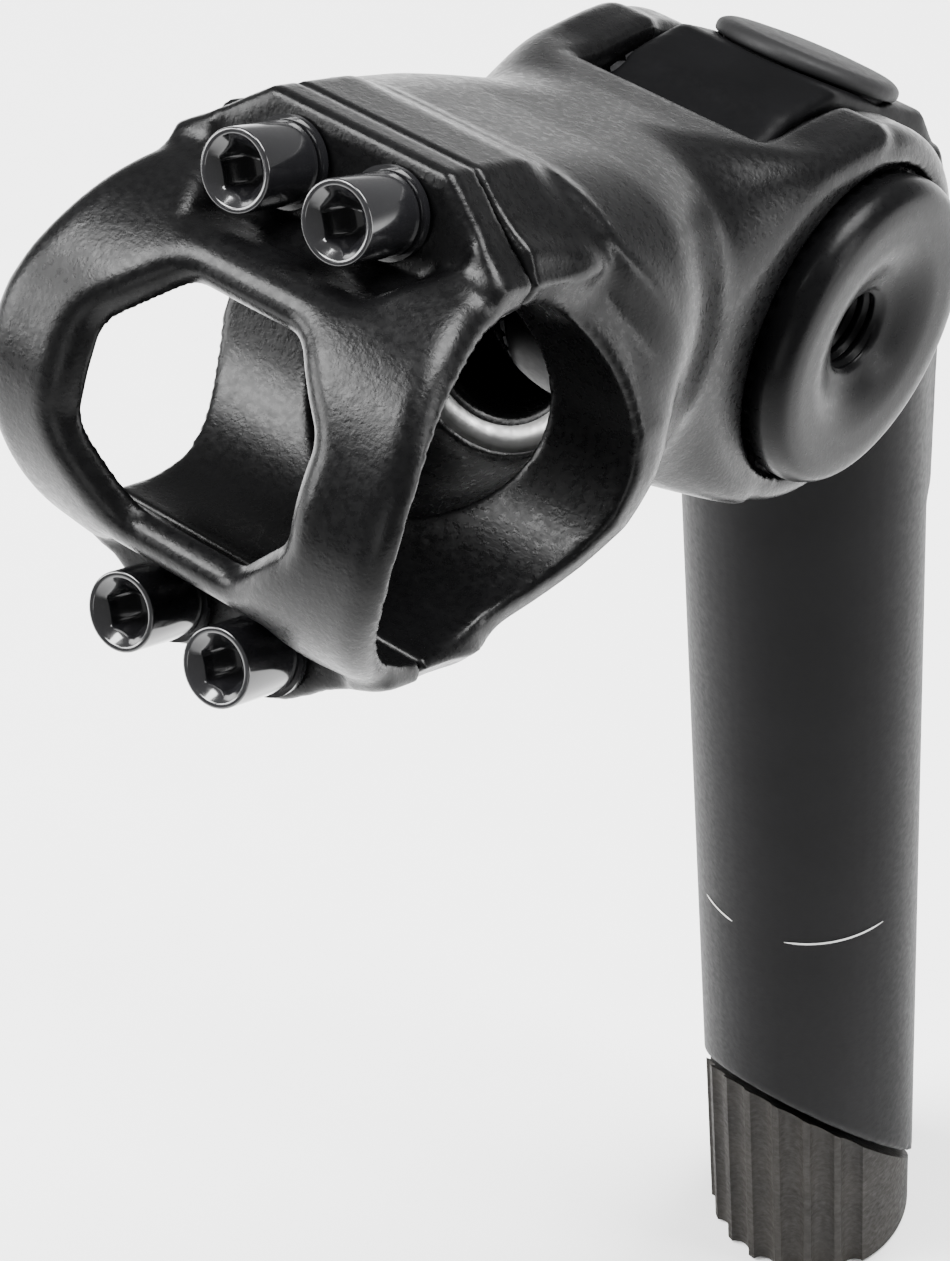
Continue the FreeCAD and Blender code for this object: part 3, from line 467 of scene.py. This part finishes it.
FINE = 0.42
points, quads = quill_mesh(FINE * 1.4)
add_piece("quill_forging", points * MM, quads, "quill", "quill_paint", ["quill_shaft"])
points, quads = arm_mesh(FINE * 1.1)
add_piece("arm_forging", arm_to_world(points), quads, "arm", "arm_paint", ["stem_arm"])
points, quads = plate_mesh(FINE)
add_piece("faceplate_forging", arm_to_world(points), quads, "faceplate", "arm_paint", ["faceplate"])


# ---------------------------------------------------------------- bolts, discs, cap


def hex_radius(angles, flat):
    """A hexagon's radius at each angle, given half its width across flats."""
    return flat / np.cos((angles % (math.pi / 3)) - math.pi / 6)


def clamp_bolt(corner):
    sign_x, sign_v = CORNERS[corner]
    seat, top, reach = 0.6, 7.3, -12.5
    outer = rounded([(2.5, reach + 0.5), (2.5, seat), (3.5, seat), (3.5, top), (3.05, top)], 0.45)
    rows = [(0.4, reach), (2.1, reach)] + outer
    rows += [
        (2.95, top - 0.06),
        (2.45, top - 0.75),
        lambda a: (hex_radius(a, 2.02), top - 0.95),
        lambda a: (hex_radius(a, 1.98), top - 1.15),
        lambda a: (hex_radius(a, 1.98), top - 4.4),
        (0.3, top - 5.0),
    ]
    points, faces = around(rows, 48)
    local = np.stack([points[:, 0] + sign_x * CLAMP_X, points[:, 2] + LAND_U,
                      points[:, 1] + BAR_V + sign_v * CLAMP_V], 1)
    faces = [face[::-1] for face in faces]
    name = f"faceplate_bolt_{corner}"
    return add_piece(f"clamp_screw_{corner}", arm_to_world(local), faces, f"bolt_{corner}",
                     "black_steel", [name])


for corner in CORNERS:
    clamp_bolt(corner)


def painted_highlight_ring():
    """A thin bright metallic ring on the shoulder at the back of the arm's hollow: a painted highlight for
    the light that falls on that shoulder.
    """
    count = 72
    profile = [(8.3, 29.9), (8.3, 30.12), (10.7, 30.12), (10.7, 29.9)]
    points, faces = around(profile, count, cap_first=False, cap_last=False)
    last = 3 * count
    faces += [(last + i, last + (i + 1) % count, (i + 1) % count, i) for i in range(count)]
    local = np.stack([points[:, 0], points[:, 2], points[:, 1] + PASSAGE_V], 1)
    # Bright metallic finish on this ring: painted highlight where light falls into the hollow.
    add_piece("painted_highlight_ring", arm_to_world(local), faces, "arm", "bare_metal")


painted_highlight_ring()


def right_disc():
    """The threaded pivot disc: rounded rim, dished face, real thread turns, fine back teeth."""
    teeth = 48
    count = teeth * 6
    back, crown = 15.9, 20.6

    def toothed(radius, height):
        return lambda a: (radius - 0.32 * np.abs(((a * teeth / math.pi) % 2) - 1), height)

    face = rounded([(15.1, 17.4), (15.1, 18.9), (14.2, 20.3), (12.4, crown), (9.2, crown - 0.15),
                    (7.4, 19.9), (5.4, 18.9), (4.35, 18.5), (3.95, 18.1)], 1.6)
    rows = [(4.05, 10.1), (9.6, 10.1), (9.6, back), (14.2, back), toothed(14.9, back), toothed(15.0, 16.9),
            (15.0, 17.15)] + face
    pitch, deep = 1.25, 0.42
    first, last, turns = 18.0, 14.4, 46
    for k in range(turns):
        height = first + (last - first) * k / (turns - 1)

        def groove(a, height=height):
            phase = (height / pitch + a / (2 * math.pi)) % 1
            return 4.02 - deep * np.clip(1.3 - 2.6 * np.abs(phase - 0.5), 0, 1), height

        rows.append(groove)
    rows.append((4.05, 14.2))
    rows.append((4.05, 10.1))
    points, faces = around(rows, count, cap_first=False, cap_last=False)
    local = np.stack([points[:, 2], points[:, 0], points[:, 1]], 1)
    return add_piece("threaded_disc", arm_to_world(local), faces, "arm", "disc_paint", ["pivot_disc_right"])


right_disc()


def cap():
    rows = rounded([(0.0, -2.4), (8.0, -2.4), (8.0, 0.1), (9.2, 0.1), (9.2, 1.2), (8.3, 1.75), (5.0, 2.05),
                    (0.0, 2.2)], 0.5)
    points, faces = around(rows[1:-1], 96)
    across, along = points[:, 1], points[:, 2]
    world = np.stack([
        points[:, 0],
        CAP_Y + across * math.cos(CAP_TILT) + along * math.sin(CAP_TILT),
        CAP_Z - across * math.sin(CAP_TILT) + along * math.cos(CAP_TILT),
    ], 1) * MM
    return add_piece("bolt_cap", world, faces, "cap", "cap_rubber", ["expander_cap"])


cap()


def limit_line():
    """A thin pale line round part of the quill at the minimum-insertion height."""
    radius, half = QUILL_R + 0.06, 0.17
    for number, (start, stop) in enumerate(((-118, -96), (-66, -12))):
        angles = np.radians(np.linspace(start, stop, 60))
        taper = np.minimum(1, 6 * np.minimum(np.linspace(0, 1, 60), np.linspace(1, 0, 60)) + 0.3)
        ring = np.stack([radius * np.cos(angles), radius * np.sin(angles), half * taper], 1)
        mirror = ring * np.array([1, 1, -1])
        points = np.concatenate([ring, mirror]) * MM
        faces = [(i, i + 60, i + 61, i + 1) for i in range(59)]
        add_piece(f"limit_line_{number}", points, faces, "quill", "marking")


limit_line()

# ---------------------------------------------------------------- stage, light and camera


def soft_light(name, place, aim, size, power, tall=None):
    data = bpy.data.lights.new(name, "AREA")
    data.shape = "RECTANGLE"
    data.size = size
    data.size_y = tall or size
    data.energy = power
    lamp = bpy.data.objects.new(name, data)
    bpy.context.scene.collection.objects.link(lamp)
    lamp.location = place
    lamp.rotation_euler = (Vector(aim) - Vector(place)).to_track_quat("-Z", "Y").to_euler()


floor_z = CAD_BOX[0][2] - 0.0005
reach = 3.0
mesh = bpy.data.meshes.new("floor")
mesh.from_pydata([(-reach, -reach, floor_z), (reach, -reach, floor_z), (reach, reach, floor_z),
                  (-reach, reach, floor_z)], [], [(0, 1, 2, 3)])
floor = bpy.data.objects.new("floor", mesh)
bpy.context.scene.collection.objects.link(floor)
mesh.materials.append(finish_of("floor_paper", (0.93, 0.93, 0.93), (0.95, 0.95, 0.95), (0.8, 0.9)))

AIM = (0.0, -0.03, 0.09)
soft_light("key", (-0.45, -0.35, 0.85), AIM, 0.45, 24.0)
soft_light("top", (0.15, 0.35, 0.9), AIM, 0.5, 26.0)
soft_light("right_strip", (0.75, 0.25, 0.35), AIM, 0.2, 7.0, 0.9)
soft_light("front_fill", (0.35, -0.85, 0.3), AIM, 0.4, 1.5)
soft_light("left", (-0.8, -0.6, 0.4), AIM, 0.5, 14.0)

world = bpy.data.worlds.new("studio")
bpy.context.scene.world = world
world.use_nodes = True
world.node_tree.nodes["Background"].inputs["Color"].default_value = (1, 1, 1, 1)
world.node_tree.nodes["Background"].inputs["Strength"].default_value = 0.45

camera_data = bpy.data.cameras.new("camera")
camera_data.sensor_fit = "VERTICAL"
camera_data.sensor_height = 36.0
camera_data.lens = 4116.5 / 1261 * 36.0
camera_data.shift_y = 0.0009
camera = bpy.data.objects.new("camera", camera_data)
bpy.context.scene.collection.objects.link(camera)
turn = Matrix(((0.7761, -0.4359, 0.4557), (0.6272, 0.6092, -0.4853), (-0.0661, 0.6625, 0.7462)))
camera.matrix_world = Matrix.Translation((0.17468, -0.23780, 0.37245)) @ turn.to_4x4()
bpy.context.scene.camera = camera
